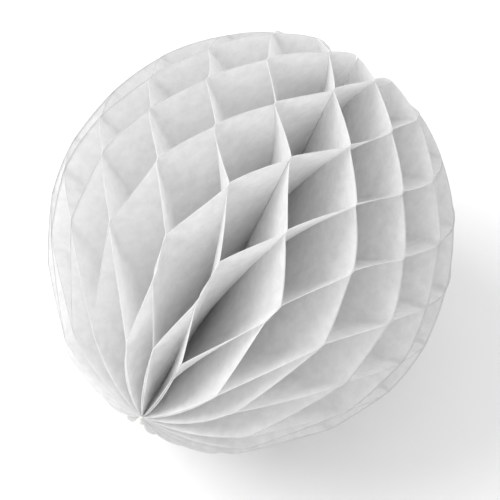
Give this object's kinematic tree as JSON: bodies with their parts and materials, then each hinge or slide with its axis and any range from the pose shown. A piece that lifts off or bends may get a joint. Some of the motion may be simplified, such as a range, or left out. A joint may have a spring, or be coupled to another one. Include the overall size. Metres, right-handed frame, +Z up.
{
  "type": "paper honeycomb ball",
  "caption": "Opened tissue paper honeycomb ball: half-disc leaves glued in alternating lines fan round a spine thread between two end cards.",
  "frame": {"origin": "on the floor, under the middle of the opened ball as it lies on its side", "axes": "+X along the spine thread, +Y across it, +Z up"},
  "size_m": [0.2722, 0.2482, 0.2482],
  "materials": {
    "tissue": "matte",
    "card": "matte",
    "thread": "matte",
    "adhesive": "satin"
  },
  "bodies": {
    "card_a_side": {"end_card_a": "card", "spine_thread": "thread", "closure_pad_1": "adhesive", "closure_pad_2": "adhesive", "closure_pad_3": "adhesive"},
    "card_b_side": {"end_card_b": "card"},
    "leaf_01_body": {"leaf_01": "tissue"},
    "leaf_02_body": {"leaf_02": "tissue"},
    "leaf_03_body": {"leaf_03": "tissue"},
    "leaf_04_body": {"leaf_04": "tissue"},
    "leaf_05_body": {"leaf_05": "tissue"},
    "leaf_06_body": {"leaf_06": "tissue"},
    "leaf_07_body": {"leaf_07": "tissue"},
    "leaf_08_body": {"leaf_08": "tissue"},
    "leaf_09_body": {"leaf_09": "tissue"},
    "leaf_10_body": {"leaf_10": "tissue"},
    "leaf_11_body": {"leaf_11": "tissue"},
    "leaf_12_body": {"leaf_12": "tissue"},
    "leaf_13_body": {"leaf_13": "tissue"},
    "leaf_14_body": {"leaf_14": "tissue"},
    "leaf_15_body": {"leaf_15": "tissue"},
    "leaf_16_body": {"leaf_16": "tissue"},
    "leaf_17_body": {"leaf_17": "tissue"},
    "leaf_18_body": {"leaf_18": "tissue"},
    "leaf_19_body": {"leaf_19": "tissue"},
    "leaf_20_body": {"leaf_20": "tissue"},
    "leaf_21_body": {"leaf_21": "tissue"},
    "leaf_22_body": {"leaf_22": "tissue"},
    "leaf_23_body": {"leaf_23": "tissue"},
    "leaf_24_body": {"leaf_24": "tissue"},
    "leaf_25_body": {"leaf_25": "tissue"},
    "leaf_26_body": {"leaf_26": "tissue"},
    "leaf_27_body": {"leaf_27": "tissue"},
    "leaf_28_body": {"leaf_28": "tissue"},
    "leaf_29_body": {"leaf_29": "tissue"},
    "leaf_30_body": {"leaf_30": "tissue"},
    "leaf_31_body": {"leaf_31": "tissue"},
    "leaf_32_body": {"leaf_32": "tissue"},
    "leaf_33_body": {"leaf_33": "tissue"},
    "leaf_34_body": {"leaf_34": "tissue"},
    "leaf_35_body": {"leaf_35": "tissue"},
    "leaf_36_body": {"leaf_36": "tissue"}
  },
  "joints": [
    {"name": "fan_fold", "type": "hinge", "parent": "card_a_side", "child": "card_b_side", "pos_m": [-0.00735, 0, 0.12406], "axis": [-1, 0, 0], "range_deg": [0, 353.5]},
    {"name": "leaf_01_fold", "type": "hinge", "parent": "card_a_side", "child": "leaf_01_body", "pos_m": [-0.00735, 0, 0.12406], "axis": [-1, 0, 0], "range_deg": [0, 4.92], "deforming": ["leaf_01"]},
    {"name": "leaf_02_fold", "type": "hinge", "parent": "card_a_side", "child": "leaf_02_body", "pos_m": [-0.00735, 0, 0.12406], "axis": [-1, 0, 0], "range_deg": [0, 14.74], "deforming": ["leaf_02"]},
    {"name": "leaf_03_fold", "type": "hinge", "parent": "card_a_side", "child": "leaf_03_body", "pos_m": [-0.00735, 0, 0.12406], "axis": [-1, 0, 0], "range_deg": [0, 24.56], "deforming": ["leaf_03"]},
    {"name": "leaf_04_fold", "type": "hinge", "parent": "card_a_side", "child": "leaf_04_body", "pos_m": [-0.00735, 0, 0.12406], "axis": [-1, 0, 0], "range_deg": [0, 34.38], "deforming": ["leaf_04"]},
    {"name": "leaf_05_fold", "type": "hinge", "parent": "card_a_side", "child": "leaf_05_body", "pos_m": [-0.00735, 0, 0.12406], "axis": [-1, 0, 0], "range_deg": [0, 44.2], "deforming": ["leaf_05"]},
    {"name": "leaf_06_fold", "type": "hinge", "parent": "card_a_side", "child": "leaf_06_body", "pos_m": [-0.00735, 0, 0.12406], "axis": [-1, 0, 0], "range_deg": [0, 54.02], "deforming": ["leaf_06"]},
    {"name": "leaf_07_fold", "type": "hinge", "parent": "card_a_side", "child": "leaf_07_body", "pos_m": [-0.00735, 0, 0.12406], "axis": [-1, 0, 0], "range_deg": [0, 63.84], "deforming": ["leaf_07"]},
    {"name": "leaf_08_fold", "type": "hinge", "parent": "card_a_side", "child": "leaf_08_body", "pos_m": [-0.00735, 0, 0.12406], "axis": [-1, 0, 0], "range_deg": [0, 73.66], "deforming": ["leaf_08"]},
    {"name": "leaf_09_fold", "type": "hinge", "parent": "card_a_side", "child": "leaf_09_body", "pos_m": [-0.00735, 0, 0.12406], "axis": [-1, 0, 0], "range_deg": [0, 83.47], "deforming": ["leaf_09"]},
    {"name": "leaf_10_fold", "type": "hinge", "parent": "card_a_side", "child": "leaf_10_body", "pos_m": [-0.00735, 0, 0.12406], "axis": [-1, 0, 0], "range_deg": [0, 93.3], "deforming": ["leaf_10"]},
    {"name": "leaf_11_fold", "type": "hinge", "parent": "card_a_side", "child": "leaf_11_body", "pos_m": [-0.00735, 0, 0.12406], "axis": [-1, 0, 0], "range_deg": [0, 103.11], "deforming": ["leaf_11"]},
    {"name": "leaf_12_fold", "type": "hinge", "parent": "card_a_side", "child": "leaf_12_body", "pos_m": [-0.00735, 0, 0.12406], "axis": [-1, 0, 0], "range_deg": [0, 112.93], "deforming": ["leaf_12"]},
    {"name": "leaf_13_fold", "type": "hinge", "parent": "card_a_side", "child": "leaf_13_body", "pos_m": [-0.00735, 0, 0.12406], "axis": [-1, 0, 0], "range_deg": [0, 122.75], "deforming": ["leaf_13"]},
    {"name": "leaf_14_fold", "type": "hinge", "parent": "card_a_side", "child": "leaf_14_body", "pos_m": [-0.00735, 0, 0.12406], "axis": [-1, 0, 0], "range_deg": [0, 132.57], "deforming": ["leaf_14"]},
    {"name": "leaf_15_fold", "type": "hinge", "parent": "card_a_side", "child": "leaf_15_body", "pos_m": [-0.00735, 0, 0.12406], "axis": [-1, 0, 0], "range_deg": [0, 142.39], "deforming": ["leaf_15"]},
    {"name": "leaf_16_fold", "type": "hinge", "parent": "card_a_side", "child": "leaf_16_body", "pos_m": [-0.00735, 0, 0.12406], "axis": [-1, 0, 0], "range_deg": [0, 152.21], "deforming": ["leaf_16"]},
    {"name": "leaf_17_fold", "type": "hinge", "parent": "card_a_side", "child": "leaf_17_body", "pos_m": [-0.00735, 0, 0.12406], "axis": [-1, 0, 0], "range_deg": [0, 162.03], "deforming": ["leaf_17"]},
    {"name": "leaf_18_fold", "type": "hinge", "parent": "card_a_side", "child": "leaf_18_body", "pos_m": [-0.00735, 0, 0.12406], "axis": [-1, 0, 0], "range_deg": [0, 171.85], "deforming": ["leaf_18"]},
    {"name": "leaf_19_fold", "type": "hinge", "parent": "card_a_side", "child": "leaf_19_body", "pos_m": [-0.00735, 0, 0.12406], "axis": [-1, 0, 0], "range_deg": [0, 181.67], "deforming": ["leaf_19"]},
    {"name": "leaf_20_fold", "type": "hinge", "parent": "card_a_side", "child": "leaf_20_body", "pos_m": [-0.00735, 0, 0.12406], "axis": [-1, 0, 0], "range_deg": [0, 191.49], "deforming": ["leaf_20"]},
    {"name": "leaf_21_fold", "type": "hinge", "parent": "card_a_side", "child": "leaf_21_body", "pos_m": [-0.00735, 0, 0.12406], "axis": [-1, 0, 0], "range_deg": [0, 201.31], "deforming": ["leaf_21"]},
    {"name": "leaf_22_fold", "type": "hinge", "parent": "card_a_side", "child": "leaf_22_body", "pos_m": [-0.00735, 0, 0.12406], "axis": [-1, 0, 0], "range_deg": [0, 211.13], "deforming": ["leaf_22"]},
    {"name": "leaf_23_fold", "type": "hinge", "parent": "card_a_side", "child": "leaf_23_body", "pos_m": [-0.00735, 0, 0.12406], "axis": [-1, 0, 0], "range_deg": [0, 220.95], "deforming": ["leaf_23"]},
    {"name": "leaf_24_fold", "type": "hinge", "parent": "card_a_side", "child": "leaf_24_body", "pos_m": [-0.00735, 0, 0.12406], "axis": [-1, 0, 0], "range_deg": [0, 230.77], "deforming": ["leaf_24"]},
    {"name": "leaf_25_fold", "type": "hinge", "parent": "card_a_side", "child": "leaf_25_body", "pos_m": [-0.00735, 0, 0.12406], "axis": [-1, 0, 0], "range_deg": [0, 240.59], "deforming": ["leaf_25"]},
    {"name": "leaf_26_fold", "type": "hinge", "parent": "card_a_side", "child": "leaf_26_body", "pos_m": [-0.00735, 0, 0.12406], "axis": [-1, 0, 0], "range_deg": [0, 250.41], "deforming": ["leaf_26"]},
    {"name": "leaf_27_fold", "type": "hinge", "parent": "card_a_side", "child": "leaf_27_body", "pos_m": [-0.00735, 0, 0.12406], "axis": [-1, 0, 0], "range_deg": [0, 260.23], "deforming": ["leaf_27"]},
    {"name": "leaf_28_fold", "type": "hinge", "parent": "card_a_side", "child": "leaf_28_body", "pos_m": [-0.00735, 0, 0.12406], "axis": [-1, 0, 0], "range_deg": [0, 270.05], "deforming": ["leaf_28"]},
    {"name": "leaf_29_fold", "type": "hinge", "parent": "card_a_side", "child": "leaf_29_body", "pos_m": [-0.00735, 0, 0.12406], "axis": [-1, 0, 0], "range_deg": [0, 279.86], "deforming": ["leaf_29"]},
    {"name": "leaf_30_fold", "type": "hinge", "parent": "card_a_side", "child": "leaf_30_body", "pos_m": [-0.00735, 0, 0.12406], "axis": [-1, 0, 0], "range_deg": [0, 289.68], "deforming": ["leaf_30"]},
    {"name": "leaf_31_fold", "type": "hinge", "parent": "card_a_side", "child": "leaf_31_body", "pos_m": [-0.00735, 0, 0.12406], "axis": [-1, 0, 0], "range_deg": [0, 299.5], "deforming": ["leaf_31"]},
    {"name": "leaf_32_fold", "type": "hinge", "parent": "card_a_side", "child": "leaf_32_body", "pos_m": [-0.00735, 0, 0.12406], "axis": [-1, 0, 0], "range_deg": [0, 309.32], "deforming": ["leaf_32"]},
    {"name": "leaf_33_fold", "type": "hinge", "parent": "card_a_side", "child": "leaf_33_body", "pos_m": [-0.00735, 0, 0.12406], "axis": [-1, 0, 0], "range_deg": [0, 319.14], "deforming": ["leaf_33"]},
    {"name": "leaf_34_fold", "type": "hinge", "parent": "card_a_side", "child": "leaf_34_body", "pos_m": [-0.00735, 0, 0.12406], "axis": [-1, 0, 0], "range_deg": [0, 328.96], "deforming": ["leaf_34"]},
    {"name": "leaf_35_fold", "type": "hinge", "parent": "card_a_side", "child": "leaf_35_body", "pos_m": [-0.00735, 0, 0.12406], "axis": [-1, 0, 0], "range_deg": [0, 338.78], "deforming": ["leaf_35"]},
    {"name": "leaf_36_fold", "type": "hinge", "parent": "card_a_side", "child": "leaf_36_body", "pos_m": [-0.00735, 0, 0.12406], "axis": [-1, 0, 0], "range_deg": [0, 348.6], "deforming": ["leaf_36"]}
  ],
  "couplings": [
    {"joint": "leaf_01_fold", "follows": "fan_fold", "ratio": 0.013889},
    {"joint": "leaf_02_fold", "follows": "fan_fold", "ratio": 0.041667},
    {"joint": "leaf_03_fold", "follows": "fan_fold", "ratio": 0.069444},
    {"joint": "leaf_04_fold", "follows": "fan_fold", "ratio": 0.097222},
    {"joint": "leaf_05_fold", "follows": "fan_fold", "ratio": 0.125},
    {"joint": "leaf_06_fold", "follows": "fan_fold", "ratio": 0.15278},
    {"joint": "leaf_07_fold", "follows": "fan_fold", "ratio": 0.18056},
    {"joint": "leaf_08_fold", "follows": "fan_fold", "ratio": 0.20833},
    {"joint": "leaf_09_fold", "follows": "fan_fold", "ratio": 0.23611},
    {"joint": "leaf_10_fold", "follows": "fan_fold", "ratio": 0.26389},
    {"joint": "leaf_11_fold", "follows": "fan_fold", "ratio": 0.29167},
    {"joint": "leaf_12_fold", "follows": "fan_fold", "ratio": 0.31944},
    {"joint": "leaf_13_fold", "follows": "fan_fold", "ratio": 0.34722},
    {"joint": "leaf_14_fold", "follows": "fan_fold", "ratio": 0.375},
    {"joint": "leaf_15_fold", "follows": "fan_fold", "ratio": 0.40278},
    {"joint": "leaf_16_fold", "follows": "fan_fold", "ratio": 0.43056},
    {"joint": "leaf_17_fold", "follows": "fan_fold", "ratio": 0.45833},
    {"joint": "leaf_18_fold", "follows": "fan_fold", "ratio": 0.48611},
    {"joint": "leaf_19_fold", "follows": "fan_fold", "ratio": 0.51389},
    {"joint": "leaf_20_fold", "follows": "fan_fold", "ratio": 0.54167},
    {"joint": "leaf_21_fold", "follows": "fan_fold", "ratio": 0.56944},
    {"joint": "leaf_22_fold", "follows": "fan_fold", "ratio": 0.59722},
    {"joint": "leaf_23_fold", "follows": "fan_fold", "ratio": 0.625},
    {"joint": "leaf_24_fold", "follows": "fan_fold", "ratio": 0.65278},
    {"joint": "leaf_25_fold", "follows": "fan_fold", "ratio": 0.68056},
    {"joint": "leaf_26_fold", "follows": "fan_fold", "ratio": 0.70833},
    {"joint": "leaf_27_fold", "follows": "fan_fold", "ratio": 0.73611},
    {"joint": "leaf_28_fold", "follows": "fan_fold", "ratio": 0.76389},
    {"joint": "leaf_29_fold", "follows": "fan_fold", "ratio": 0.79167},
    {"joint": "leaf_30_fold", "follows": "fan_fold", "ratio": 0.81944},
    {"joint": "leaf_31_fold", "follows": "fan_fold", "ratio": 0.84722},
    {"joint": "leaf_32_fold", "follows": "fan_fold", "ratio": 0.875},
    {"joint": "leaf_33_fold", "follows": "fan_fold", "ratio": 0.90278},
    {"joint": "leaf_34_fold", "follows": "fan_fold", "ratio": 0.93056},
    {"joint": "leaf_35_fold", "follows": "fan_fold", "ratio": 0.95833},
    {"joint": "leaf_36_fold", "follows": "fan_fold", "ratio": 0.98611}
  ]
}
